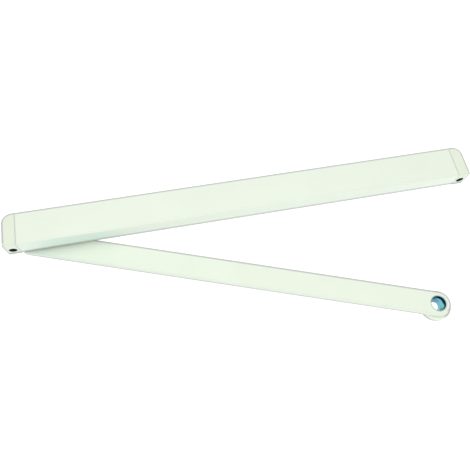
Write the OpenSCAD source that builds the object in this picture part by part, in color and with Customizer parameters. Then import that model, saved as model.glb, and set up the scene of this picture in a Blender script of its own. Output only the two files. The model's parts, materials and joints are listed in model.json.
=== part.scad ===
// Slide rail and lever arm of a window crank operator.
// The rail is screwed to the frame by its back face, and a slide block runs in its track.
// The lever hangs from the block on a pin, and its eye takes the operator's output spindle.
//
// Frame: +X along the rail, +Y into the frame that the rail is fixed to, +Z up.
// The origin is the middle of the rail's back face. Millimetres.

/* [Rail] */
// Length over both end caps
overall_l = 450; // [320:1:700]
// Depth from the mounting face to the front
rail_d = 32; // [32:0.5:40]
// Height of the rail
rail_h = 18.5; // [16:0.5:20]
// Wall of the extrusion
rail_wall = 2; // [1.6:0.1:2.2]
// Width of the track that the slide block runs in
track_w = 16; // [16:0.5:18]
// Width of the slot under the track
slot_w = 11; // [11:0.5:12]
// Rounding of the extrusion's outer edges
rail_edge_r = 1; // [0.4:0.1:1.4]

/* [End caps and blocks] */
// Length of a cap along the rail
cap_l = 12.0; // [11:0.1:14]
// Wall of a cap
cap_wall = 1.8; // [1.2:0.1:2]
// Rounding of a cap's outer corner at the mounting face
cap_corner_r = 9; // [4:0.5:10]
// Rounding of a cap's outer corner at the front
cap_front_r = 1.2; // [0.5:0.1:2]
// How far a cap hangs below the rail
cap_drop = 1.2; // [0:0.1:1.4]
// Distance of a fixing hole from the end
hole_inset = 6.5; // [6:0.1:7]
// How far a fixing hole is below the rail's middle
hole_drop = 1.5; // [0:0.1:2]
// Radius of a fixing hole
hole_r = 2.25; // [1.8:0.05:2.8]
// Radius of the access hole in a cap's front
access_r = 3.6; // [3:0.1:3.8]
// Length of the block's spigot inside the rail
spigot_l = 22; // [18:1:40]

/* [Lever] */
// Distance from the pivot to the eye
lever_l = 384.2; // [200:0.1:400]
// Width of the lever
lever_w = 22.8; // [20:0.2:23.4]
// Thickness of the lever
lever_t = 6; // [5:0.5:8]
// How far the lever is swung out from the rail
lever_angle = 19.2; // [0:0.1:160]
// Radius of the hub under the eye
hub_r = 13.9; // [12:0.1:14.5]
// Height of the hub below the lever
hub_h = 7.5; // [7:0.5:14]
// Radius of the spindle bore
bore_r = 7; // [5:0.1:8]
// Radius of the opening in the lip under the bore
lip_r = 4.3; // [3:0.1:7]

/* [Slide block] */
// Distance of the pivot from the middle of the rail
pivot_x = 205; // [150:1:205]
// Radius of the pivot pin
pin_r = 3; // [2.5:0.1:3]

/* [Hidden] */
$fn = 64;
ARC_STEPS = 6;            // facets in a quarter of a rounded outline
END_STEPS = 18;           // facets in a quarter of the lever's round ends
FIT = 0.1;                // gap where one piece sits inside another
TIGHT = 0.02;             // gap in a pressed joint
RUNNING = 0.04;           // radial clearance of the pivot
THROUGH = 1;              // how far a cutter runs past a face

// Rail and ends
rail_l = overall_l - 2 * cap_l;
half_h = rail_h / 2;
track_front = -rail_d + rail_wall;
track_back = track_front + track_w;
track_y = (track_front + track_back) / 2;
track_half_h = half_h - rail_wall;
chamber_front = track_back + rail_wall;
chamber_y = (chamber_front - rail_wall) / 2;
inner_r = 0.4;
counterbore_r = access_r + 0.3;
counterbore_floor = -rail_d + 5;
pocket_depth = 1.4;
buffer_w = 9;
buffer_h = 9;
buffer_proud = 0.1;

// Countersunk screw that holds each block in the rail
block_screw_x = rail_l / 2 - spigot_l / 2;
screw_r = 1.7;
screw_head_r = 3.3;
screw_head_h = 1.6;
screw_l = 8;
screw_key_r = 1.25;
screw_key_depth = 1;

// Slide block, measured from the pivot
core_half_x = 5.8;
core_half_y = 6.9;
core_half_z = track_half_h - 0.4;
shoe_half_x = 7.6;
shoe_half_y = track_w / 2 - 0.3;
shoe_half_z = track_half_h - 0.3;
shoe_gap = 0.4;           // half the gap between the two shoes' wings
peg_r = 1.4;
peg_depth = 1.5;
peg_y = 4.6;
neck_r = slot_w / 2 - 0.3;
neck_bottom = -half_h - 0.5;
bush_r = pin_r + 1;
bush_top = 1.5;
recess_r = 5.2;

// Lever stack, from the slide block down
washer_r = 7.4;
washer_top = neck_bottom - FIT;
washer_t = 1.25;
lever_top = -half_h - 2;
lever_bottom = lever_top - lever_t;
eye_wall = 0.8;
liner_recess = 0.4;
lip_t = 1.2;              // lip that stops the end of the spindle
hub_bottom = lever_bottom - hub_h;
liner_r = bore_r + eye_wall;
key_z = (lever_bottom + hub_bottom) / 2;

// Pin, its washer and its ring
head_r = 5.4;
head_h = 1.8;
head_edge_h = 0.9;
ring_r = 4.7;
ring_washer_t = 0.5;
ring_t = 0.7;
ring_z = bush_top + FIT + ring_washer_t + FIT;
groove_r = pin_r - 0.65;
pin_top = ring_z + ring_t + 1.5;
pin_chamfer = 0.5;

// Set screw that clamps the spindle
set_screw_r = 2.5;
set_screw_l = 6;
set_screw_key_r = 1.45;
set_screw_key_depth = 2;

paint = [0.92, 0.95, 0.90];
zinc = [0.62, 0.64, 0.66];
steel = [0.70, 0.74, 0.78];
bronze = [0.66, 0.50, 0.28];
nylon = [0.90, 0.90, 0.86];
acetal = [0.16, 0.17, 0.18];
rubber = [0.09, 0.09, 0.10];

// ---------- outlines ----------

// A quarter arc about a corner's centre, or the sharp corner itself where r is 0
function corner(cx, cy, r, from, steps = ARC_STEPS) =
    r > 0 ? [for (i = [0:steps]) [cx + r * cos(from + 90 * i / steps), cy + r * sin(from + 90 * i / steps)]]
          : [[cx, cy]];

// A rectangle whose corners have the radii [right-top, left-top, left-bottom, right-bottom]
function rounded(x0, x1, y0, y1, r) = concat(
    corner(x1 - r[0], y1 - r[0], r[0], 0),
    corner(x0 + r[1], y1 - r[1], r[1], 90),
    corner(x0 + r[2], y0 + r[2], r[2], 180),
    corner(x1 - r[3], y0 + r[3], r[3], 270));

module rounded_square(x0, x1, y0, y1, r) {
    polygon(rounded(x0, x1, y0, y1, [r, r, r, r]));
}

// ---------- places ----------

// The right-hand end as drawn, or its mirror image at the left
module at_end(side) {
    mirror([side < 0 ? 1 : 0, 0, 0]) children();
}

// The fixing hole's line at the right-hand end
module at_hole() {
    translate([overall_l / 2 - hole_inset, 0, -hole_drop]) children();
}

module at_pivot() {
    translate([-pivot_x, track_y, 0]) children();
}

// The lever's own frame: +X from the pivot to the eye
module along_lever() {
    at_pivot() rotate([0, 0, -lever_angle]) children();
}

module at_eye() {
    along_lever() translate([lever_l, 0, 0]) children();
}

// A cylinder between two heights
module column(r, low, high) {
    translate([0, 0, low]) cylinder(r = r, h = high - low);
}

module ring(outer, inner, low, high) {
    difference() {
        column(outer, low, high);
        column(inner, low - THROUGH, high + THROUGH);
    }
}

// A cylinder along +Y between two depths
module bore_along_y(r, from, to) {
    translate([0, from, 0]) rotate([-90, 0, 0]) cylinder(r = r, h = to - from);
}

// ---------- rail ----------

module rail_profile() {
    difference() {
        rounded_square(-rail_d, 0, -half_h, half_h, rail_edge_r);
        rounded_square(track_front, track_back, -track_half_h, track_half_h, inner_r);
        rounded_square(chamber_front, -rail_wall, -track_half_h, track_half_h, inner_r);
        translate([track_y - slot_w / 2, -half_h - THROUGH])
            square([slot_w, rail_wall + 2 * THROUGH]);
    }
}

module guide_rail() {
    color(paint) difference() {
        translate([-rail_l / 2, 0, 0])
            rotate([90, 0, 90]) linear_extrude(rail_l) rail_profile();
        for (side = [-1, 1]) at_end(side) at_block_screw() block_screw_seat();
    }
}

// ---------- ends ----------

// Plan of an end, grown inwards by the given amount and reaching back to x0
module end_plan(x0, inset) {
    polygon(rounded(x0, overall_l / 2 - inset, -rail_d + inset, -inset,
        [cap_corner_r - inset, 0, 0, max(cap_front_r - inset, 0)]));
}

// An end's solid from x0 to the end, smaller all over by the given amount
module end_body(x0, inset) {
    translate([0, 0, -half_h - cap_drop + inset])
        linear_extrude(rail_h + cap_drop - 2 * inset) end_plan(x0, inset);
}

module end_cap(side) {
    color(paint) at_end(side) difference() {
        end_body(rail_l / 2, 0);
        end_body(rail_l / 2 - THROUGH, cap_wall);
        at_hole() {
            bore_along_y(access_r, -rail_d - THROUGH, -rail_d + cap_wall + THROUGH);
            bore_along_y(hole_r, -cap_corner_r, THROUGH);
        }
    }
}

module end_block(side) {
    spigot_half = track_half_h - 2 * FIT;
    color(zinc) at_end(side) difference() {
        union() {
            end_body(rail_l / 2, cap_wall + FIT);
            translate([rail_l / 2 - spigot_l, chamber_front + 2 * FIT, -spigot_half])
                cube([spigot_l, -chamber_front - rail_wall - 4 * FIT, 2 * spigot_half]);
        }
        at_hole() {
            bore_along_y(hole_r, -rail_d, THROUGH);
            bore_along_y(counterbore_r, -rail_d, counterbore_floor);
        }
        translate([rail_l / 2 - THROUGH, track_y - buffer_w / 2 - FIT, -buffer_h / 2 - FIT])
            cube([pocket_depth + THROUGH, buffer_w + 2 * FIT, buffer_h + 2 * FIT]);
        at_block_screw() column(screw_r + FIT / 2, -rail_h, screw_l + FIT);
    }
}

module end_buffer(side) {
    color(rubber) at_end(side)
        translate([rail_l / 2 + pocket_depth, track_y, 0])
            rotate([0, -90, 0]) linear_extrude(pocket_depth + buffer_proud)
                rounded_square(-buffer_h / 2, buffer_h / 2, -buffer_w / 2, buffer_w / 2, 1);
}

// The screw's own frame: its head's face is at z = 0, flush with the rail's underside
module at_block_screw() {
    translate([block_screw_x, chamber_y, -half_h]) children();
}

module block_screw_seat() {
    column(screw_r + FIT, -THROUGH, rail_wall + THROUGH);
    translate([0, 0, -FIT]) cylinder(r1 = screw_head_r + 2 * FIT, r2 = screw_r + FIT, h = screw_head_h + 2 * FIT);
}

module block_screw(side) {
    color(steel) at_end(side) at_block_screw() difference() {
        union() {
            translate([0, 0, FIT]) cylinder(r1 = screw_head_r, r2 = screw_r, h = screw_head_h);
            column(screw_r, FIT, screw_l);
        }
        column(screw_key_r, -THROUGH, FIT + screw_key_depth, $fn = 6);
    }
}

// ---------- slide block ----------

module slider_core() {
    color(zinc) at_pivot() difference() {
        union() {
            translate([-core_half_x, -core_half_y, -core_half_z])
                cube([2 * core_half_x, 2 * core_half_y, 2 * core_half_z]);
            column(neck_r, neck_bottom, -core_half_z + THROUGH);
        }
        column(bush_r, neck_bottom - THROUGH, core_half_z + THROUGH);
        column(recess_r, bush_top, core_half_z + THROUGH);
        for (side = [-1, 1], y = [-peg_y, peg_y]) at_end(side)
            translate([core_half_x - peg_depth - FIT, y, 0])
                rotate([0, 90, 0]) cylinder(r = peg_r + FIT / 2, h = peg_depth + THROUGH);
    }
}

module glide_shoe(side) {
    color(acetal) at_pivot() at_end(side) union() {
        difference() {
            translate([shoe_gap, -shoe_half_y, -shoe_half_z])
                cube([shoe_half_x - shoe_gap, 2 * shoe_half_y, 2 * shoe_half_z]);
            translate([-THROUGH, -core_half_y - FIT / 2, -shoe_half_z - THROUGH])
                cube([core_half_x + FIT / 2 + THROUGH, 2 * core_half_y + FIT, 2 * (shoe_half_z + THROUGH)]);
        }
        for (y = [-peg_y, peg_y])
            translate([core_half_x - peg_depth, y, 0])
                rotate([0, 90, 0]) cylinder(r = peg_r, h = peg_depth + THROUGH);
    }
}

module pivot_bush() {
    color(bronze) at_pivot() ring(bush_r - TIGHT, pin_r + RUNNING, neck_bottom, bush_top);
}

module thrust_washer() {
    color(nylon) at_pivot() ring(washer_r, pin_r + FIT, washer_top - washer_t, washer_top);
}

// ---------- lever ----------

// Half of the lever's round end, about the given centre
function lever_end(x, from) = concat(
    corner(x, 0, lever_w / 2, from, END_STEPS),
    corner(x, 0, lever_w / 2, from + 90, END_STEPS));

module lever_arm() {
    color(paint) along_lever() difference() {
        translate([0, 0, lever_bottom]) linear_extrude(lever_t)
            polygon(concat(lever_end(lever_l, -90), lever_end(0, 90)));
        column(pin_r + TIGHT, lever_bottom - THROUGH, lever_top + THROUGH);
        translate([lever_l, 0, 0]) column(liner_r + TIGHT, lever_bottom - THROUGH, lever_top + THROUGH);
    }
}

module pivot_pin() {
    head_z = lever_bottom - head_h;
    color(steel) at_pivot() rotate_extrude() polygon([
        [0, head_z],
        [head_r - head_edge_h, head_z],
        [head_r, head_z + head_edge_h],
        [head_r, lever_bottom],
        [pin_r, lever_bottom],
        [pin_r, ring_z],
        [groove_r, ring_z],
        [groove_r, ring_z + ring_t],
        [pin_r, ring_z + ring_t],
        [pin_r, pin_top - pin_chamfer],
        [pin_r - pin_chamfer, pin_top],
        [0, pin_top]]);
}

module ring_washer() {
    low = bush_top + FIT;
    color(steel) at_pivot() ring(ring_r, pin_r + FIT, low, low + ring_washer_t);
}

module retaining_ring() {
    color(steel) at_pivot() difference() {
        ring(ring_r, groove_r + TIGHT, ring_z + TIGHT, ring_z + ring_t - TIGHT);
        translate([0, -groove_r + 0.5, ring_z - THROUGH])
            cube([ring_r + THROUGH, 2 * groove_r - 1, ring_t + 2 * THROUGH]);
    }
}

// The set screw's own frame: +Z out of the hub, back along the lever's underside
module at_set_screw() {
    translate([0, 0, key_z]) rotate([0, -90, 0]) children();
}

module set_screw_hole(from, to) {
    at_set_screw() column(set_screw_r + FIT / 2, from, to);
}

module spindle_hub() {
    color(paint) at_eye() difference() {
        ring(hub_r, liner_r + TIGHT, hub_bottom, lever_bottom);
        set_screw_hole(bore_r, hub_r + THROUGH);
    }
}

module spindle_bush() {
    low = hub_bottom + liner_recess;
    color(steel) at_eye() difference() {
        ring(liner_r, min(lip_r, bore_r), low, lever_top - liner_recess);
        column(bore_r, low + lip_t, lever_top + THROUGH);
        set_screw_hole(bore_r - THROUGH, hub_r);
    }
}

module hub_set_screw() {
    tip = bore_r + 2 * FIT;
    head = tip + set_screw_l;
    color(steel) at_eye() at_set_screw() difference() {
        column(set_screw_r, tip, head);
        column(set_screw_key_r, head - set_screw_key_depth, head + THROUGH, $fn = 6);
    }
}

guide_rail();
end_cap(-1);  // end_cap_left
end_cap(1);  // end_cap_right
end_block(-1);  // end_block_left
end_block(1);  // end_block_right
block_screw(-1);  // block_screw_left
block_screw(1);  // block_screw_right
end_buffer(-1);  // end_buffer_left
end_buffer(1);  // end_buffer_right
slider_core();
glide_shoe(-1);  // glide_shoe_left
glide_shoe(1);  // glide_shoe_right
pivot_bush();
thrust_washer();
lever_arm();
pivot_pin();
ring_washer();
retaining_ring();
spindle_hub();
spindle_bush();
hub_set_screw();
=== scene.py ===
import json
import math

import bmesh
import bpy
from mathutils import Matrix, Vector


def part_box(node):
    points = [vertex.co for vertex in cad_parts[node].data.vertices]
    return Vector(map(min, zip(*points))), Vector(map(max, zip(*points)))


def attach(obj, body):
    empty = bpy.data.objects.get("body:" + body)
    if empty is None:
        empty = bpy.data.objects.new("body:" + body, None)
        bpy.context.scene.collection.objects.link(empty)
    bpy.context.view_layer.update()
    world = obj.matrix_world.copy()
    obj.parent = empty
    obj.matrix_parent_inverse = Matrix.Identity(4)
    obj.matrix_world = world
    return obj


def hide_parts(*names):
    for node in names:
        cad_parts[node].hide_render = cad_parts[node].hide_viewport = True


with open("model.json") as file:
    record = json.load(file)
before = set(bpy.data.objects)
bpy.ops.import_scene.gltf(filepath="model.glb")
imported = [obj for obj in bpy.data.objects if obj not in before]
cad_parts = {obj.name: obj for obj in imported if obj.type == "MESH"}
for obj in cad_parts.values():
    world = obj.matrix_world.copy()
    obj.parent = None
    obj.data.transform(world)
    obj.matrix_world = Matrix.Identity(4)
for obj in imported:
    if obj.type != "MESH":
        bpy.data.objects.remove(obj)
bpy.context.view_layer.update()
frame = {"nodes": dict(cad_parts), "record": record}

# Geometry is written in millimetres, in the CAD's own frame: +X along the rail, +Y into the wall, +Z up.
MM = 0.001
RECORD = frame["record"]
SIDES = {"left": -1, "right": 1}

# ---------- sizes that the frame doesn't give ----------

RAIL_WALL = 2.0
RAIL_EDGE_R = 1.0
TRACK_W = 16.0
SLOT_W = 11.0
INNER_R = 0.4
LIP_R = 0.3
CAP_WALL = 1.8
CAP_CORNER_R = 9.0
CAP_FRONT_R = 1.2
CAP_EDGE_R = 0.9
ACCESS_R = 3.6
LEVER_EDGE_R = 0.8
FIT = 0.1
BORE_WALL = 0.8
LIP_OPENING_R = 4.3
LIP_T = 1.2
MOUTH_W = 0.12
MOUTH_H = 0.12
SET_SCREW_HOLE_R = 2.55
PIN_R = 3.0
COUNTERSINK_H = 1.6
ROUND = 96                # sides of a turned piece
FINE_ROUND = 128          # sides of the hub and its liner
PAST = 1.0                # how far a cutter reaches beyond the face it opens

# ---------- colours, and where the coat changes ----------

RAIL_WHITE = (0.700, 0.765, 0.655, 1)
LEVER_WHITE = (0.695, 0.760, 0.640, 1)
CAP_WHITE = (0.680, 0.740, 0.610, 1)
EDGE_SHADE_GREY = (0.38, 0.40, 0.385, 1)     # painted shade along the outer edges, and the darker seam lines of the caps
TEAL_PAINTED_SHADE = (0.84, 0.925, 0.945, 1)    # painted shade, times the coat's own colour

RIM_FULL = 0.7            # how far in from an outer edge the painted edge shade is at its greyest
RIM_END = 2.2             # and how far in it ends
LOWER_SPREAD = 2.3        # how much further up an upright face it reaches from the lower edge
LEVER_SPREAD = 3.3        # the same on the lever
FRONT_TOP_SHARE = 0.12    # how much of it there is at the front's top edge
SEAM_SHARE = 0.42         # and along the seams of the caps
ON_HUB_SHARE = 0.75       # how far it moves up the bar's side above the hub
PAINTED_SHADE_RISES = (-222, -182)     # where along the rail the painted teal shade comes in
PAINTED_SHADE_FALLS = (-146, -114)     # and where it goes
PAINTED_SHADE_FADES = (20, 90)         # how far from the pivot it goes on the lever


# ---------- places ----------

def box_mm(node):
    """Lowest and highest corner of a CAD node, in millimetres."""
    low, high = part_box(node)
    return low / MM, high / MM


def joint_named(name):
    return next(j for j in RECORD["behaviour"]["joints"] if j["name"] == name)


def mount_named(name):
    return next(m for m in RECORD["mounts"] if m["name"] == name)


def move(x, y, z):
    return Matrix.Translation((x, y, z))


PIVOT = Vector(joint_named("lever_swing")["pos_m"]) / MM
EYE = Vector(mount_named("spindle_bore")["pos_m"]) / MM
SCREWS = mount_named("rail_screws")
HOLE_X = SCREWS["dims"]["spacing_x_mm"] / 2
HOLE_Z = SCREWS["pos_m"][2] / MM
HOLE_R = SCREWS["dims"]["hole_r_mm"]
BORE_R = mount_named("spindle_bore")["dims"]["r_mm"]

RAIL_LOW, RAIL_HIGH = box_mm("guide_rail")
CAP_LOW, CAP_HIGH = box_mm("end_cap_right")
LEVER_LOW, LEVER_HIGH = box_mm("lever_arm")
HUB_LOW, HUB_HIGH = box_mm("spindle_hub")
TRACK_FRONT = RAIL_LOW.y + RAIL_WALL
TRACK_BACK = TRACK_FRONT + TRACK_W
SLOT_FRONT = PIVOT.y - SLOT_W / 2
SLOT_BACK = PIVOT.y + SLOT_W / 2
LEVER_ANGLE = math.atan2(EYE.y - PIVOT.y, EYE.x - PIVOT.x)
LEVER_LENGTH = (EYE.xy - PIVOT.xy).length
LEVER_HALF_W = PIVOT.x - LEVER_LOW.x
HUB_R = (HUB_HIGH.x - HUB_LOW.x) / 2
LINER_SEAT_R = BORE_R + BORE_WALL + 0.02

# Local +Z of a profile or an outline turned to the direction named
ALONG_X = Matrix(((0, 0, 1, 0), (1, 0, 0, 0), (0, 1, 0, 0), (0, 0, 0, 1)))
ALONG_Y = Matrix(((0, 1, 0, 0), (0, 0, 1, 0), (1, 0, 0, 0), (0, 0, 0, 1)))
AT_PIVOT = move(PIVOT.x, PIVOT.y, 0)
ALONG_LEVER = AT_PIVOT @ Matrix.Rotation(LEVER_ANGLE, 4, "Z")
AT_EYE = move(EYE.x, EYE.y, 0) @ Matrix.Rotation(LEVER_ANGLE, 4, "Z")
SET_SCREW_Z = (HUB_LOW.z + LEVER_LOW.z) / 2
AT_SET_SCREW = AT_EYE @ move(0, 0, SET_SCREW_Z) @ Matrix.Rotation(math.pi, 4, "Z") @ ALONG_X


def at_end(side):
    """The right-hand end as drawn, or its mirror image at the left."""
    return Matrix.Diagonal((side, 1, 1, 1))


# ---------- mesh work ----------

def outline(corners, steps=6):
    """A closed 2-D outline through corners (x, y, radius), each one rounded by an arc."""
    points = []
    for i, (x, y, r) in enumerate(corners):
        here = Vector((x, y))
        if r <= 0:
            points.append((x, y))
            continue
        before = (Vector(corners[i - 1][:2]) - here).normalized()
        after = (Vector(corners[(i + 1) % len(corners)][:2]) - here).normalized()
        half = before.angle(after) / 2
        centre = here + (before + after).normalized() * r / math.sin(half)
        spoke = here + before * r / math.tan(half) - centre
        turn = math.copysign(math.pi - 2 * half, before.y * after.x - before.x * after.y)
        for s in range(steps + 1):
            arm = Matrix.Rotation(turn * s / steps, 2) @ spoke
            points.append(tuple(centre + arm))
    return points


def new_piece(name, points, faces, place=None):
    """A mesh object from points in millimetres, carried to its place."""
    place = place or Matrix()
    mesh = bpy.data.meshes.new(name)
    mesh.from_pydata([(place @ Vector(p)) * MM for p in points], [], faces)
    piece = bpy.data.objects.new(name, mesh)
    bpy.context.scene.collection.objects.link(piece)
    clean(piece)
    return piece


def clean(piece, flat=0.2):
    """Joins doubled points, merges flat neighbours and turns every face outwards."""
    form = bmesh.new()
    form.from_mesh(piece.data)
    bmesh.ops.remove_doubles(form, verts=form.verts, dist=1e-4 * MM)
    bmesh.ops.dissolve_degenerate(form, edges=form.edges, dist=1e-4 * MM)
    bmesh.ops.dissolve_limit(form, angle_limit=math.radians(flat), verts=form.verts, edges=form.edges)
    bmesh.ops.recalc_face_normals(form, faces=form.faces)
    form.to_mesh(piece.data)
    form.free()


def bake(piece):
    """Turns a piece's modifiers into plain mesh."""
    graph = bpy.context.evaluated_depsgraph_get()
    mesh = bpy.data.meshes.new_from_object(piece.evaluated_get(graph))
    piece.modifiers.clear()
    piece.data = mesh


def prism(name, points, low, high, place=None):
    """An outline extruded from low to high."""
    n = len(points)
    verts = [(x, y, h) for h in (low, high) for x, y in points]
    sides = [(i, (i + 1) % n, n + (i + 1) % n, n + i) for i in range(n)]
    ends = [tuple(reversed(range(n))), tuple(range(n, 2 * n))]
    return new_piece(name, verts, sides + ends, place)


def lathe(name, profile, place=None, steps=ROUND):
    """A closed profile of (radius, height) turned round its own Z axis."""
    n = len(profile)
    verts, faces = [], []
    for s in range(steps):
        a = 2 * math.pi * s / steps
        verts += [(r * math.cos(a), r * math.sin(a), h) for r, h in profile]
        here, there = s * n, ((s + 1) % steps) * n
        for i in range(n):
            j = (i + 1) % n
            faces.append((here + i, here + j, there + j, there + i))
    return new_piece(name, verts, faces, place)


def column(r, low, high, place=None, steps=ROUND):
    return lathe("cutter", [(0, low), (r, low), (r, high), (0, high)], place, steps)


def tube_profile(inner, outer, low, high, edge, bore_edge=None):
    """The section of a ring whose corners are rounded."""
    bore_edge = edge if bore_edge is None else bore_edge
    return outline([(inner, low, bore_edge), (outer, low, edge), (outer, high, edge),
                    (inner, high, bore_edge)], 4)


def combine(piece, others, operation="DIFFERENCE"):
    """An exact boolean of the piece with each of the others, which are used up."""
    for other in others:
        change = piece.modifiers.new("combine", "BOOLEAN")
        change.operation = operation
        change.solver = "EXACT"
        change.object = other
    bake(piece)
    for other in others:
        bpy.data.objects.remove(other)
    clean(piece)
    return piece


def soften(piece, width, where=None, steps=3, angle=30):
    """Rounds the sharp edges. where(x, y, z), in millimetres, picks them by their middle."""
    form = bmesh.new()
    form.from_mesh(piece.data)
    weight = form.edges.layers.float.new("bevel_weight_edge")
    for edge in form.edges:
        sharp = len(edge.link_faces) == 2 and edge.calc_face_angle() > math.radians(angle)
        middle = (edge.verts[0].co + edge.verts[1].co) / 2 / MM
        edge[weight] = 1.0 if sharp and (where is None or where(*middle)) else 0.0
    form.to_mesh(piece.data)
    form.free()
    bevel = piece.modifiers.new("edges", "BEVEL")
    bevel.width = width * MM
    bevel.segments = steps
    bevel.limit_method = "WEIGHT"
    bevel.use_clamp_overlap = False
    bevel.miter_outer = "MITER_ARC"
    bake(piece)
    piece.data.attributes.remove(piece.data.attributes["bevel_weight_edge"])
    return piece


def smooth(piece, angle=38):
    """Smooth shading that stays crisp at real corners."""
    piece.data.shade_smooth()
    piece.data.set_sharp_from_angle(angle=math.radians(angle))
    weighted = piece.modifiers.new("normals", "WEIGHTED_NORMAL")
    weighted.keep_sharp = True
    bake(piece)


def from_cad(name, node, edge, angle=30):
    """A softened copy of a CAD node's solid, for plain cast and moulded blocks."""
    source = frame["nodes"][node]
    piece = bpy.data.objects.new(name, source.data.copy())
    bpy.context.scene.collection.objects.link(piece)
    piece.data.materials.clear()
    clean(piece)
    return soften(piece, edge, angle=angle)


def install(piece, node, body, material):
    """Puts a finished piece on its body in place of its CAD node."""
    smooth(piece)
    piece.data.materials.clear()
    piece.data.materials.append(material)
    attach(piece, body)
    if node:
        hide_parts(node)


# ---------- materials ----------

class Graph:
    """A material's nodes, added and linked one after another."""

    def __init__(self, name, **sockets):
        self.material = bpy.data.materials.new(name)
        self.material.use_nodes = True
        self.tree = self.material.node_tree
        self.surface = self.tree.nodes["Principled BSDF"]
        for socket, value in sockets.items():
            self.surface.inputs[socket.replace("_", " ")].default_value = value
        self.place = self.add("TexCoord").outputs["Object"]

    def add(self, kind, inputs=None, **settings):
        made = self.tree.nodes.new("ShaderNode" + kind)
        for key, value in settings.items():
            setattr(made, key, value)
        for key, value in (inputs or {}).items():
            if isinstance(value, bpy.types.NodeSocket):
                self.tree.links.new(value, made.inputs[key])
            else:
                made.inputs[key].default_value = value
        return made

    def noise(self, size, detail=2.0, roughness=0.5, place=None):
        """Noise whose blotches are about size millimetres across."""
        made = self.add("TexNoise", {"Vector": place or self.place, "Scale": 1 / (size * MM),
                                     "Detail": detail, "Roughness": roughness})
        return made.outputs["Fac"]

    def ranged(self, value, low, high, from_low=0.3, from_high=0.7):
        made = self.add("MapRange", {"Value": value, "From Min": from_low, "From Max": from_high,
                                     "To Min": low, "To Max": high})
        return made.outputs["Result"]

    def mixed(self, factor, first, second):
        made = self.add("Mix", data_type="RGBA")
        for socket, value in zip((0, 6, 7), (factor, first, second)):
            if isinstance(value, bpy.types.NodeSocket):
                self.tree.links.new(value, made.inputs[socket])
            else:
                made.inputs[socket].default_value = value
        return made.outputs[2]

    def calc(self, operation, first, second=0.0):
        return self.add("Math", {0: first, 1: second}, operation=operation).outputs["Value"]

    def axes(self, vector):
        return self.add("SeparateXYZ", {"Vector": vector}).outputs

    def edges(self, radius):
        """1 along edges that are sharper than the radius, 0 on flats."""
        averaged = self.add("Bevel", {"Radius": radius * MM}, samples=8).outputs["Normal"]
        agree = self.vector("DOT_PRODUCT", averaged, self.add("NewGeometry").outputs["Normal"])
        return self.ranged(agree, 1.0, 0.0, 0.93, 0.998)

    def least(self, *values):
        """The smallest of several values."""
        found = values[0]
        for value in values[1:]:
            found = self.calc("MINIMUM", found, value)
        return found

    def vector(self, operation, first, second=(0, 0, 0)):
        made = self.add("VectorMath", {0: first, 1: second}, operation=operation)
        return made.outputs["Value" if operation in ("LENGTH", "DOT_PRODUCT") else "Vector"]

    def rim(self, plan, low, high, at_front, spread=LOWER_SPREAD, covered=0.0):
        """1 along the outer edges of an upright slab, where grey shade is painted, hardly there at its
        front's top edge.

        plan is the distance in from the slab's outline. low and high are its faces, in millimetres.
        spread is how much further up it reaches from the lower edge than from the upper one.
        covered is 1 where the lower edge lies on another piece and has no rim.
        """
        z = self.axes(self.place)["Z"]
        above = self.calc("MULTIPLY", self.calc("SUBTRACT", z, low * MM), 1 / spread)
        above = self.calc("ADD", above, self.calc("MULTIPLY", covered, RIM_END * MM))
        height = self.least(self.calc("SUBTRACT", high * MM, z), above)
        band = self.ranged(self.calc("MAXIMUM", plan, height), 1.0, 0.0, RIM_FULL * MM, RIM_END * MM)
        middle = (low + high) / 2
        upper = self.ranged(z, 0.0, 1.0, (middle - 1) * MM, (middle + 1) * MM)
        lost = self.calc("MULTIPLY", self.calc("MULTIPLY", at_front, upper), 1 - FRONT_TOP_SHARE)
        return self.calc("MULTIPLY", band, self.calc("SUBTRACT", 1.0, lost))

    def bump(self, height, depth, strength=1.0, normal=None):
        inputs = {"Height": height, "Distance": depth * MM, "Strength": strength}
        if normal is not None:
            inputs["Normal"] = normal
        return self.add("Bump", inputs).outputs["Normal"]

    def finish(self, color=None, roughness=None, normal=None):
        for socket, value in (("Base Color", color), ("Roughness", roughness), ("Normal", normal)):
            if value is not None:
                self.tree.links.new(value, self.surface.inputs[socket])
        return self.material


def rail_rim(g):
    """Painted edge shade on the rail and caps: a long box whose back corners are round, with the seams
    between them.
    """
    place, r = g.axes(g.place), CAP_CORNER_R
    along = g.calc("SUBTRACT", g.calc("ABSOLUTE", place["X"]), (CAP_HIGH.x - r) * MM)
    across = g.calc("ADD", place["Y"], r * MM)
    past_corner = g.add("CombineXYZ", {"X": along, "Y": across}).outputs["Vector"]
    beyond = g.vector("LENGTH", g.vector("MAXIMUM", past_corner))
    within = g.least(g.calc("MAXIMUM", along, across), 0.0)
    from_back = g.calc("SUBTRACT", r * MM, g.calc("ADD", beyond, within))
    from_front = g.calc("SUBTRACT", place["Y"], CAP_LOW.y * MM)
    at_front = g.ranged(from_front, 1.0, 0.0, 2.5 * MM, 4.0 * MM)
    off_seam = g.calc("ABSOLUTE", g.calc("SUBTRACT", g.calc("ABSOLUTE", place["X"]), CAP_LOW.x * MM))
    seam = g.ranged(off_seam, SEAM_SHARE, 0.0, 0.3 * MM, 0.9 * MM)
    off_corner = g.calc("MAXIMUM", from_front, g.calc("SUBTRACT", r * MM, along))
    corner_edge = g.ranged(off_corner, 1.0, 0.0, RIM_FULL * MM, RIM_END * MM)
    around = g.rim(g.least(from_back, from_front), RAIL_LOW.z, RAIL_HIGH.z, at_front)
    return g.calc("MAXIMUM", g.calc("MAXIMUM", seam, corner_edge), around)


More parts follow.
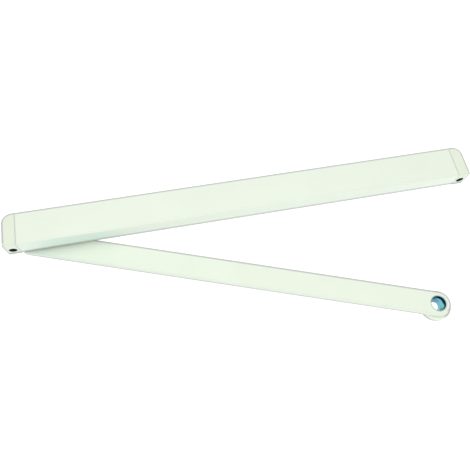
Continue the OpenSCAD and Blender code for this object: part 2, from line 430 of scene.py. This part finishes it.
def lever_rim(g):
    """Painted edge shade on the lever bar: a slot shape, from the distance to its middle line."""
    from_pivot = g.vector("SUBTRACT", g.place, (PIVOT.x * MM, PIVOT.y * MM, 0))
    heading = Vector((math.cos(LEVER_ANGLE), math.sin(LEVER_ANGLE), 0))
    along = g.vector("DOT_PRODUCT", from_pivot, tuple(heading))
    across = g.vector("DOT_PRODUCT", from_pivot, (-heading.y, heading.x, 0))
    held = g.least(g.calc("MAXIMUM", along, 0.0), LEVER_LENGTH * MM)
    spoke = g.add("CombineXYZ", {"X": g.calc("SUBTRACT", along, held), "Y": across}).outputs["Vector"]
    inwards = g.calc("SUBTRACT", LEVER_HALF_W * MM, g.vector("LENGTH", spoke))
    at_front = g.ranged(across, 1.0, 0.0, (4 - LEVER_HALF_W) * MM, (6 - LEVER_HALF_W) * MM)
    on_hub = g.ranged(from_eye(g), ON_HUB_SHARE, 0.0, (HUB_R - 1) * MM, (HUB_R + 7) * MM)
    return g.rim(inwards, LEVER_LOW.z, LEVER_HIGH.z, at_front, LEVER_SPREAD, on_hub)


def hub_rim(g):
    """Painted edge shade on the hub: its lower edge, and its upper edge past the end of the bar."""
    place = g.axes(g.place)
    inwards = g.calc("SUBTRACT", HUB_R * MM, from_eye(g))
    above = g.calc("MULTIPLY", g.calc("SUBTRACT", place["Z"], HUB_LOW.z * MM), 1 / LOWER_SPREAD)
    under_bar = g.ranged(place["X"], RIM_END * MM, 0.0, (EYE.x + 2) * MM, (EYE.x + 8) * MM)
    below = g.calc("ADD", g.calc("SUBTRACT", HUB_HIGH.z * MM, place["Z"]), under_bar)
    edge = g.calc("MAXIMUM", inwards, g.least(above, below))
    return g.ranged(edge, 1.0, 0.0, RIM_FULL * MM, RIM_END * MM)


def from_eye(g):
    """Distance from the eye's axis."""
    spoke = g.vector("SUBTRACT", g.place, (EYE.x * MM, EYE.y * MM, 0))
    return g.vector("LENGTH", g.vector("MULTIPLY", spoke, (1, 1, 0)))


def painted_shade_beside_pivot(g):
    """Painted teal shade where the lever shades the rail: the rail's front, just above the lever's end.
    """
    place = g.axes(g.place)
    from_front = g.calc("SUBTRACT", place["Y"], RAIL_LOW.y * MM)
    on_front = g.ranged(from_front, 1.0, 0.0, 0.2 * MM, 0.8 * MM)
    rising = g.ranged(place["X"], 0.0, 1.0, *(x * MM for x in PAINTED_SHADE_RISES))
    falling = g.ranged(place["X"], 1.0, 0.0, *(x * MM for x in PAINTED_SHADE_FALLS))
    return g.calc("MULTIPLY", on_front, g.least(rising, falling))


def painted_shade_near_pivot(g):
    """Fainter painted teal shade on the lever: its end under the rail, where the rail shades it."""
    from_pivot = g.vector("SUBTRACT", g.place, (PIVOT.x * MM, PIVOT.y * MM, 0))
    return g.ranged(g.vector("LENGTH", from_pivot), 0.45, 0.0, *(r * MM for r in PAINTED_SHADE_FADES))


def shade(color, k):
    return tuple(c * k for c in color[:3]) + (1.0,)


def powder_coat(name, color, rim, cast=None):
    """Matt white powder coat: orange peel, a faint mottle, and painted grey shade along edges.

    rim and cast are functions of the graph. They say where the painted grey edge shade and the painted
    teal shade are.
    """
    g = Graph(name, IOR=1.5, Coat_Weight=0.08, Coat_Roughness=0.3)
    mottle = g.mixed(g.ranged(g.noise(35, 4), 0, 1), shade(color, 0.985), shade(color, 1.01))
    specks = g.ranged(g.noise(0.5, 1), 0, 1, 0.68, 0.74)
    fine = g.mixed(specks, mottle, shade(color, 0.93))
    # painted shade: teal darkening where the lever shades the rail's front and the rail shades the
    # lever's end
    if cast:
        fine = g.mixed(cast(g), fine, tuple(c * k for c, k in zip(color, TEAL_PAINTED_SHADE)))
    # painted shade: grey along the outer edges, and darker seam lines
    tinted = g.mixed(rim(g), fine, EDGE_SHADE_GREY)
    peel = g.bump(g.noise(1.6, 2), 0.020, 0.55)
    grain = g.bump(g.noise(0.35, 2), 0.004, 0.4, peel)
    rough = g.ranged(g.noise(9, 5, 0.6), 0.40, 0.52)
    return g.finish(tinted, rough, grain)


def cap_plastic(name, color, rim):
    """Moulded cap: spark-eroded grain, slightly warmer than the rail, with the same painted grey shade
    along its edges.
    """
    g = Graph(name, IOR=1.47, Subsurface_Weight=0.04, Subsurface_Scale=0.002)
    mottle = g.mixed(g.ranged(g.noise(14, 3), 0, 1), shade(color, 0.98), shade(color, 1.01))
    # painted shade: grey along the outer edges, and darker seam lines
    tinted = g.mixed(rim(g), mottle, EDGE_SHADE_GREY)
    grain = g.bump(g.noise(0.42, 3, 0.6), 0.008, 0.5)
    flow = g.bump(g.noise(6, 2), 0.015, 0.25, grain)
    rough = g.ranged(g.noise(3, 4), 0.42, 0.56)
    return g.finish(tinted, rough, flow)


def cast_zinc(name):
    """Die-cast zinc, near black as painted shade for the holes in the caps, rubbed through to metal
    along its edges.
    """
    g = Graph(name, Metallic=0.75)
    # painted shade: near black so that the blocks seen through the caps' holes look dark
    base = (0.022, 0.026, 0.032, 1)
    stain = g.mixed(g.ranged(g.noise(5, 5, 0.6), 0, 1), shade(base, 0.70), shade(base, 1.35))
    worn = g.mixed(g.edges(0.5), stain, (0.16, 0.17, 0.18, 1))
    skin = g.bump(g.noise(0.8, 4, 0.65), 0.03, 0.5)
    return g.finish(worn, g.ranged(g.noise(1.4, 4), 0.34, 0.62), skin)


def plated_steel(name):
    """Bright zinc plate over turned steel, with fine tool marks across the height."""
    g = Graph(name, Metallic=1.0)
    base = (0.66, 0.69, 0.72, 1)
    cloud = g.mixed(g.ranged(g.noise(2.5, 4), 0, 1), shade(base, 0.86), shade(base, 1.10))
    worn = g.mixed(g.edges(0.3), cloud, (0.86, 0.87, 0.88, 1))
    stretched = g.add("Mapping", {"Vector": g.place, "Scale": (1, 1, 14)}).outputs["Vector"]
    marks = g.bump(g.noise(0.9, 3, 0.5, stretched), 0.004, 0.25)
    return g.finish(worn, g.ranged(g.noise(1.1, 3), 0.22, 0.38), marks)


def blue_liner_painted_shade(name):
    """Blue steel liner with painted shade and reflection: navy near the mouth, steel blue further down,
    lighter and teal towards the front, and a dull top that is darker at -X and paler at +X as painted
    shade and light.
    """
    low, high = box_mm("spindle_bush")
    g = Graph(name, Metallic=1.0, Specular_Tint=(0.10, 0.30, 0.38, 1))
    place, middle = g.axes(g.place), (low.y + high.y) / 2
    # painted shade and reflection: dark navy near the mouth, lighter blue and teal further down and
    # towards the front
    depth = g.ranged(place["Z"], 1.0, 0.0, low.z * MM, high.z * MM)
    cooler = g.ranged(place["Y"], 0.34, 0.0, (middle - 5.5) * MM, (middle + 0.5) * MM)
    wander = g.calc("ADD", g.ranged(g.noise(4, 3), -0.02, 0.02), g.calc("ADD", depth, cooler))
    ramp = g.add("ValToRGB", {"Fac": wander})
    stops = ((0.08, (0.010, 0.050, 0.080, 1)), (0.41, (0.012, 0.060, 0.095, 1)),
             (0.56, (0.40, 0.62, 0.72, 1)), (0.80, (0.38, 0.58, 0.68, 1)), (0.95, (0.46, 0.70, 0.72, 1)))
    elements = ramp.color_ramp.elements
    while len(elements) < len(stops):
        elements.new(1.0)
    for element, (at, color) in zip(elements, stops):
        element.position = at
        element.color = color
    greener = g.calc("MULTIPLY", g.ranged(place["Y"], 1.0, 0.0, (middle - 5) * MM, (middle + 1) * MM),
                     g.ranged(wander, 0, 1, 0.43, 0.58))
    wall = g.mixed(greener, ramp.outputs["Color"], (0.46, 0.82, 0.76, 1))
    top = g.ranged(depth, 1.0, 0.0, 0.018, 0.032)
    # painted shade and light on the dull top: darker at -X, paler at +X
    paler = g.ranged(place["X"], 0.0, 1.0, (EYE.x - 3) * MM, (EYE.x + 3) * MM)
    mouth = g.mixed(paler, (0.34, 0.39, 0.33, 1), (0.54, 0.62, 0.56, 1))
    tinted = g.mixed(top, wall, mouth)
    g.tree.links.new(g.calc("SUBTRACT", 1.0, top), g.surface.inputs["Metallic"])
    stretched = g.add("Mapping", {"Vector": g.place, "Scale": (1, 1, 10)}).outputs["Vector"]
    marks = g.bump(g.noise(0.8, 3, 0.5, stretched), 0.006, 0.4)
    return g.finish(tinted, g.ranged(g.noise(1.5, 3), 0.26, 0.40), marks)


def black_oxide(name):
    """Blackened steel with a blue-green cast, polished on its edges."""
    g = Graph(name, Metallic=1.0)
    base = (0.055, 0.125, 0.130, 1)
    cloud = g.mixed(g.ranged(g.noise(1.5, 4), 0, 1), shade(base, 0.8), shade(base, 1.2))
    worn = g.mixed(g.edges(0.25), cloud, (0.20, 0.33, 0.33, 1))
    return g.finish(worn, g.ranged(g.noise(0.8, 3), 0.28, 0.45), g.bump(g.noise(0.3, 2), 0.004, 0.4))


def bearing_bronze(name):
    g = Graph(name, Metallic=1.0)
    base = (0.55, 0.36, 0.17, 1)
    pores = g.ranged(g.noise(0.25, 2), 0, 1, 0.58, 0.68)
    cloud = g.mixed(g.ranged(g.noise(2, 4), 0, 1), shade(base, 0.85), shade(base, 1.12))
    color = g.mixed(pores, cloud, shade(base, 0.35))
    return g.finish(color, g.ranged(g.noise(1, 3), 0.28, 0.46), g.bump(pores, -0.01, 0.5))


def moulded(name, color, low, high):
    """Plain moulded nylon or acetal."""
    g = Graph(name, IOR=1.48)
    tone = g.mixed(g.ranged(g.noise(4, 3), 0, 1), shade(color, 0.90), shade(color, 1.10))
    rubbed = g.mixed(g.edges(0.4), tone, shade(color, 1.25))
    grain = g.bump(g.noise(0.3, 3, 0.6), 0.006, 0.5)
    return g.finish(rubbed, g.ranged(g.noise(1.5, 4), low, high), grain)


def black_rubber(name):
    g = Graph(name, IOR=1.45, Specular_IOR_Level=0.3)
    dusty = g.ranged(g.noise(1.2, 5, 0.7), 0, 1)
    tone = g.mixed(dusty, (0.012, 0.012, 0.013, 1), (0.035, 0.034, 0.032, 1))
    return g.finish(tone, g.ranged(g.noise(0.8, 3), 0.72, 0.92), g.bump(g.noise(0.25, 3), 0.02, 0.6))


# ---------- rail ----------

def rail_section():
    """The extrusion's outer skin, track and slot as one outline in (y, z)."""
    back, front, low, high = RAIL_HIGH.y, RAIL_LOW.y, RAIL_LOW.z, RAIL_HIGH.z
    floor, roof = low + RAIL_WALL, high - RAIL_WALL
    return outline([
        (back, low, RAIL_EDGE_R), (back, high, RAIL_EDGE_R),
        (front, high, RAIL_EDGE_R), (front, low, RAIL_EDGE_R),
        (SLOT_FRONT, low, LIP_R), (SLOT_FRONT, floor, LIP_R),
        (TRACK_FRONT, floor, INNER_R), (TRACK_FRONT, roof, INNER_R),
        (TRACK_BACK, roof, INNER_R), (TRACK_BACK, floor, INNER_R),
        (SLOT_BACK, floor, LIP_R), (SLOT_BACK, low, LIP_R)])


def make_rail(paint):
    rail = prism("rail_extrusion", rail_section(), RAIL_LOW.x, RAIL_HIGH.x, ALONG_X)
    low, high = RAIL_LOW.z + RAIL_WALL, RAIL_HIGH.z - RAIL_WALL
    front, back = TRACK_BACK + RAIL_WALL, RAIL_HIGH.y - RAIL_WALL
    chamber = outline([(back, low, INNER_R), (back, high, INNER_R),
                       (front, high, INNER_R), (front, low, INNER_R)])
    cutters = [prism("cutter", chamber, RAIL_LOW.x - PAST, RAIL_HIGH.x + PAST, ALONG_X)]
    for node in ("block_screw_left", "block_screw_right"):
        screw_low, screw_high = box_mm(node)
        centre = (screw_low + screw_high) / 2
        head_r = (screw_high.x - screw_low.x) / 2 + 2 * FIT
        shank_r = head_r - COUNTERSINK_H
        seat = [(0, -PAST), (head_r, -PAST), (head_r, 0), (shank_r, head_r - shank_r),
                (shank_r, RAIL_WALL + PAST), (0, RAIL_WALL + PAST)]
        cutters.append(lathe("cutter", seat, move(centre.x, centre.y, RAIL_LOW.z)))
    combine(rail, cutters)
    soften(rail, 0.28)
    install(rail, "guide_rail", "rail", paint)


# ---------- ends ----------

def end_plan(inset, x0):
    """Plan of the right-hand end, grown inwards by inset and reaching back to x0."""
    x1, front, back = CAP_HIGH.x - inset, CAP_LOW.y + inset, CAP_HIGH.y - inset
    return outline([(x0, front, 0), (x1, front, max(CAP_FRONT_R - inset, 0)),
                    (x1, back, CAP_CORNER_R - inset), (x0, back, 0)], 10)


def make_cap(name, side, plastic):
    """A shell with a rounded rim, open towards the rail, with its two screw holes."""
    seam = CAP_LOW.x
    place = at_end(side)
    cap = prism("cap_" + name, end_plan(0, seam), CAP_LOW.z, CAP_HIGH.z, place)
    soften(cap, CAP_EDGE_R, lambda x, y, z: abs(x) > seam + 0.05, steps=4)
    inside = prism("cutter", end_plan(CAP_WALL, seam - PAST),
                   CAP_LOW.z + CAP_WALL, CAP_HIGH.z - CAP_WALL, place)
    at_hole = move(side * HOLE_X, 0, HOLE_Z) @ ALONG_Y
    access = column(ACCESS_R, CAP_LOW.y - PAST, CAP_LOW.y + CAP_WALL + PAST, at_hole)
    fixing = column(HOLE_R, -CAP_CORNER_R, PAST, at_hole)
    combine(cap, [inside, access, fixing])
    soften(cap, 0.25)
    install(cap, "end_cap_" + name, "rail", plastic)


def make_hole_shade_ring(name, side, dark):
    """A black ring that lines the hole in a cap's front: a dark sheet as painted shade, standing in for
    the shade inside the hole.
    """
    place = move(side * HOLE_X, 0, HOLE_Z) @ ALONG_Y
    front, back, wall = CAP_LOW.y + 0.15, CAP_LOW.y + CAP_WALL, 0.35
    ring = lathe("hole_shade_ring_" + name,
                 tube_profile(ACCESS_R - 0.02 - wall, ACCESS_R - 0.02, front, back, 0.08), place)
    install(ring, None, "rail", dark)


def make_block(name, zinc):
    block = from_cad("block_" + name, "end_block_" + name, 0.3)
    install(block, "end_block_" + name, "rail", zinc)


def make_buffer(name, rubber):
    buffer = from_cad("buffer_" + name, "end_buffer_" + name, 0.3)
    install(buffer, "end_buffer_" + name, "rail", rubber)


def threaded(name, rows, pitch, place, steps=48):
    """A turned screw. rows are (radius, height, thread depth), from the point to the head."""
    verts, faces = [], []
    for r, h, depth in rows:
        for s in range(steps):
            phase = (h / pitch - s / steps) % 1.0
            cut = depth * (1 - abs(2 * phase - 1))
            a = 2 * math.pi * s / steps
            verts.append(((r - cut) * math.cos(a), (r - cut) * math.sin(a), h))
    for row in range(len(rows) - 1):
        for s in range(steps):
            t = (s + 1) % steps
            here, above = row * steps, (row + 1) * steps
            faces.append((here + s, here + t, above + t, above + s))
    faces.append(tuple(reversed(range(steps))))
    faces.append(tuple(range((len(rows) - 1) * steps, len(rows) * steps)))
    return new_piece(name, verts, faces, place)


def thread_rows(r, low, high, depth, pitch, grain=8):
    """Rows of a threaded length, faded out at both ends."""
    count = round((high - low) / pitch * grain)
    rows = []
    for i in range(count + 1):
        h = low + (high - low) * i / count
        fade = min(1.0, i / grain, (count - i) / grain)
        rows.append((r, h, depth * fade))
    return rows


def hexagon(across, low, high, place):
    """A hexagon-key socket cutter, given the distance across its corners."""
    return column(across / 2, low, high, place, steps=6)


def make_block_screw(name, steel):
    """Countersunk socket screw, head down, that holds the end block in the rail."""
    node = "block_screw_" + name
    low, high = box_mm(node)
    centre, length = (low + high) / 2, high.z - low.z
    head_r, shank_r, edge = (high.x - low.x) / 2, 1.7, 0.2
    pitch, depth, tip = 0.7, 0.28, 0.4
    rows = [(head_r - edge, 0, 0), (head_r, edge, 0), (shank_r, COUNTERSINK_H, 0)]
    rows += thread_rows(shank_r, COUNTERSINK_H + 0.05, length - tip, depth, pitch)
    rows += [(shank_r - tip, length, 0)]
    place = move(centre.x, centre.y, low.z)
    screw = threaded("screw_" + name, rows, pitch, place)
    combine(screw, [hexagon(2.5, -1, 1.0, place)])
    install(screw, node, "rail", steel)


# ---------- slide block ----------

def ring_on_pin(name, node, clearance, edge):
    """A plain ring round the pin, as wide and as high as its CAD node."""
    low, high = box_mm(node)
    section = tube_profile(PIN_R + clearance, (high.x - low.x) / 2, low.z, high.z, edge)
    return lathe(name, section, AT_PIVOT)


def make_slider(zinc, acetal, bronze, nylon):
    install(from_cad("slide_block", "slider_core", 0.3), "slider_core", "slider", zinc)
    for name in SIDES:
        node = "glide_shoe_" + name
        install(from_cad("shoe_" + name, node, 0.25), node, "slider", acetal)
    bush = ring_on_pin("bearing_bush", "pivot_bush", 0.04, 0.25)
    install(bush, "pivot_bush", "slider", bronze)
    washer = ring_on_pin("washer_nylon", "thrust_washer", FIT, 0.3)
    install(washer, "thrust_washer", "slider", nylon)


# ---------- lever ----------

def lever_plan(grow=0.0):
    """The bar with two round ends, in the lever's own frame."""
    r, end = LEVER_HALF_W + grow, LEVER_LENGTH + LEVER_HALF_W + grow
    return outline([(-r, -r, r), (end, -r, r), (end, r, r), (-r, r, r)], 24)


def make_lever(paint):
    low, high = LEVER_LOW.z, LEVER_HIGH.z
    lever = prism("lever_bar", lever_plan(), low, high, ALONG_LEVER)
    soften(lever, LEVER_EDGE_R, steps=4)
    pin_hole = column(PIN_R + 0.02, low - PAST, high + PAST, AT_PIVOT)
    eye_hole = column(LINER_SEAT_R, low - PAST, high + PAST, AT_EYE)
    combine(lever, [pin_hole, eye_hole])
    soften(lever, 0.25)
    install(lever, "lever_arm", "lever", paint)


def make_pin(steel):
    """Shouldered pin: chamfered head below the lever, groove for its ring at the top."""
    low, high = box_mm("pivot_pin")
    head_r, shank_r, groove_r = (high.x - low.x) / 2, PIN_R, 2.35
    shoulder, ring_z, ring_t, tip = LEVER_LOW.z, 2.2, 0.7, 0.5
    dimple_r, dimple_h = 0.9, 0.5
    profile = outline([
        (0, low.z + dimple_h, 0), (dimple_r, low.z, 0.1), (head_r - 0.9, low.z, 0.4),
        (head_r, low.z + 0.9, 0.3), (head_r, shoulder, 0.1), (shank_r, shoulder, 0),
        (shank_r, ring_z, 0.05), (groove_r, ring_z, 0.05), (groove_r, ring_z + ring_t, 0.05),
        (shank_r, ring_z + ring_t, 0.05), (shank_r, high.z - tip, 0.1), (shank_r - tip, high.z, 0.1),
        (dimple_r, high.z, 0.1), (0, high.z - dimple_h, 0)], 4)
    pin = lathe("pin", profile, AT_PIVOT)
    install(pin, "pivot_pin", "lever", steel)


def make_pin_rings(steel):
    """The shim and the open spring ring that hold the pin in the slide block."""
    install(ring_on_pin("shim", "ring_washer", FIT, 0.12), "ring_washer", "lever", steel)
    low, high = box_mm("retaining_ring")
    inner, outer, mouth = 2.37, high.y - PIVOT.y, 1.85
    sweep = 40
    start_in, start_out = math.asin(mouth / inner), math.asin(mouth / outer)
    ring = []
    for r, start, turn in ((outer, start_out, 1), (inner, start_in, -1)):
        for i in range(sweep + 1):
            share = i / sweep if turn > 0 else 1 - i / sweep
            a = start + (2 * math.pi - 2 * start) * share
            ring.append((r * math.cos(a), r * math.sin(a)))
    clip = prism("snap_ring", ring, low.z, high.z, AT_PIVOT)
    soften(clip, 0.1)
    install(clip, "retaining_ring", "lever", steel)


def make_hub(paint):
    """Turned boss under the eye, with a radial hole for its set screw."""
    low, high = HUB_LOW.z, HUB_HIGH.z
    profile = outline([(LINER_SEAT_R, low, 0.3), (HUB_R, low, 1.0), (HUB_R, high, 0.3),
                       (LINER_SEAT_R, high, 0)], 5)
    hub = lathe("hub", profile, AT_EYE, FINE_ROUND)
    combine(hub, [column(SET_SCREW_HOLE_R, BORE_R, HUB_R + PAST, AT_SET_SCREW, 48)])
    soften(hub, 0.2, angle=40)
    install(hub, "spindle_hub", "lever", paint)


def make_weld(paint):
    """The weld's fillet round the hub, where the bar's underside is wide enough for it."""
    r, top, leg, sunk = HUB_R, HUB_HIGH.z, 0.9, 0.2
    fillet = [(r - sunk, top + 0.1), (r - sunk, top - leg), (r + 0.02, top - leg),
              (r + leg * 0.3, top - leg * 0.35), (r + leg, top - 0.02), (r + leg, top + 0.1)]
    bead = lathe("hub_weld", fillet, AT_EYE, FINE_ROUND)
    under_bar = prism("cutter", lever_plan(-2.0), top - 5, top + 5, ALONG_LEVER)
    combine(bead, [under_bar], "INTERSECT")
    install(bead, None, "lever", paint)


def make_liner(liner_with_painted_shade):
    """The bore's lining, with a lip at its lower end and a hole for the set screw."""
    low, high = box_mm("spindle_bush")
    outer, lip_top, edge = BORE_R + BORE_WALL, low.z + LIP_T, 0.15
    section = outline([(LIP_OPENING_R, low.z, edge), (outer, low.z, edge), (outer, high.z, 0.08),
                       (BORE_R + MOUTH_W, high.z, 0.05), (BORE_R, high.z - MOUTH_H, 0.2),
                       (BORE_R, lip_top, edge), (LIP_OPENING_R, lip_top, edge)], 4)
    liner = lathe("spindle_liner", section, AT_EYE, FINE_ROUND)
    combine(liner, [column(SET_SCREW_HOLE_R, BORE_R - PAST, outer + PAST, AT_SET_SCREW, 48)])
    install(liner, "spindle_bush", "lever", liner_with_painted_shade)


def make_set_screw(finish):
    """Socket set screw that clamps the operator's spindle."""
    tip, length, r, point = BORE_R + 2 * FIT, 6.0, 2.5, 0.5
    pitch, depth, chamfer = 0.8, 0.3, 0.3
    rows = [(r - point, 0, 0)] + thread_rows(r, point, length - chamfer, depth, pitch)
    rows += [(r - chamfer, length, 0)]
    place = AT_SET_SCREW @ move(0, 0, tip)
    screw = threaded("grub_screw", rows, pitch, place)
    combine(screw, [hexagon(2.9, length - 2.0, length + 1, place)])
    install(screw, "hub_set_screw", "lever", finish)


# ---------- studio ----------

def make_camera():
    """The photograph's view: from above and a little to the left, slightly rolled."""
    azimuth, elevation, roll = (math.radians(a) for a in (-19.14, 67.26, 8.49))
    target, distance = Vector((-18.06, -53.03, 1.25)), 478.0
    lens, sensor = 39.21, 36.0
    back = Vector((math.sin(azimuth) * math.cos(elevation), -math.cos(azimuth) * math.cos(elevation),
                   math.sin(elevation)))
    data = bpy.data.cameras.new("camera")
    data.lens, data.sensor_width = lens, sensor
    data.clip_start, data.clip_end = 0.01, 20
    camera = bpy.data.objects.new("camera", data)
    right = Vector((math.cos(azimuth), math.sin(azimuth), 0))
    up = back.cross(right)
    turned_right = right * math.cos(roll) + up * math.sin(roll)
    turned_up = up * math.cos(roll) - right * math.sin(roll)
    turn = Matrix((turned_right, turned_up, back)).transposed().to_4x4()
    camera.matrix_world = Matrix.Translation((target + back * distance) * MM) @ turn
    bpy.context.scene.collection.objects.link(camera)
    bpy.context.scene.camera = camera


def make_light(name, at, size, power, color=(1, 1, 1)):
    """A square soft box that faces the middle of the object."""
    data = bpy.data.lights.new(name, "AREA")
    data.size, data.energy, data.color = size, power, color
    lamp = bpy.data.objects.new(name, data)
    lamp.location = at
    lamp.rotation_euler = (-Vector(at)).to_track_quat("-Z", "Y").to_euler()
    bpy.context.scene.collection.objects.link(lamp)


def make_floor(drop, half):
    """A pale floor, lit from inside as a light table is, well below the object."""
    floor = new_piece("floor", [(-half, -half, -drop), (half, -half, -drop), (half, half, -drop),
                                (-half, half, -drop)], [(0, 1, 2, 3)])
    g = Graph("floor_white", Specular_IOR_Level=0.0,
              Emission_Color=(0.96, 1.0, 1.0, 1), Emission_Strength=0.12)
    pale = g.mixed(g.ranged(g.noise(400, 2), 0, 1), (0.93, 0.93, 0.93, 1), (0.95, 0.95, 0.95, 1))
    floor.data.materials.append(g.finish(pale, g.ranged(g.noise(60, 3), 0.8, 0.9)))


def make_studio():
    scene = bpy.context.scene
    scene.view_settings.view_transform = "Standard"
    world = bpy.data.worlds.new("studio")
    world.use_nodes = True
    world.node_tree.nodes["Background"].inputs["Color"].default_value = (1, 1, 1, 1)
    world.node_tree.nodes["Background"].inputs["Strength"].default_value = 0.60
    scene.world = world
    make_light("key", (-0.05, -0.1, 1.95), 2.2, 29)
    make_light("front", (0.3, -2.2, 0.2), 1.4, 18, (0.93, 0.98, 1.0))
    make_floor(300, 3000)


# ---------- the object ----------

def make_object():
    rail_paint = powder_coat("rail_powder_coat", RAIL_WHITE, rail_rim, painted_shade_beside_pivot)
    lever_paint = powder_coat("lever_powder_coat", LEVER_WHITE, lever_rim, painted_shade_near_pivot)
    hub_paint = powder_coat("hub_powder_coat", LEVER_WHITE, hub_rim)
    plastic = cap_plastic("cap_plastic", CAP_WHITE, rail_rim)
    zinc, steel = cast_zinc("die_cast_zinc"), plated_steel("plated_steel")
    acetal = moulded("glide_acetal", (0.030, 0.032, 0.035, 1), 0.32, 0.50)
    nylon = moulded("washer_nylon", (0.62, 0.62, 0.56, 1), 0.38, 0.52)
    rubber = black_rubber("buffer_rubber")

    make_rail(rail_paint)
    for name, side in SIDES.items():
        make_cap(name, side, plastic)
        make_hole_shade_ring(name, side, rubber)
        make_block(name, zinc)
        make_buffer(name, rubber)
        make_block_screw(name, steel)
    make_slider(zinc, acetal, bearing_bronze("bearing_bronze"), nylon)
    make_lever(lever_paint)
    make_pin(steel)
    make_pin_rings(steel)
    make_hub(hub_paint)
    make_weld(hub_paint)
    make_liner(blue_liner_painted_shade("blue_liner_painted_shade"))
    make_set_screw(black_oxide("black_oxide"))


make_camera()
make_studio()
make_object()
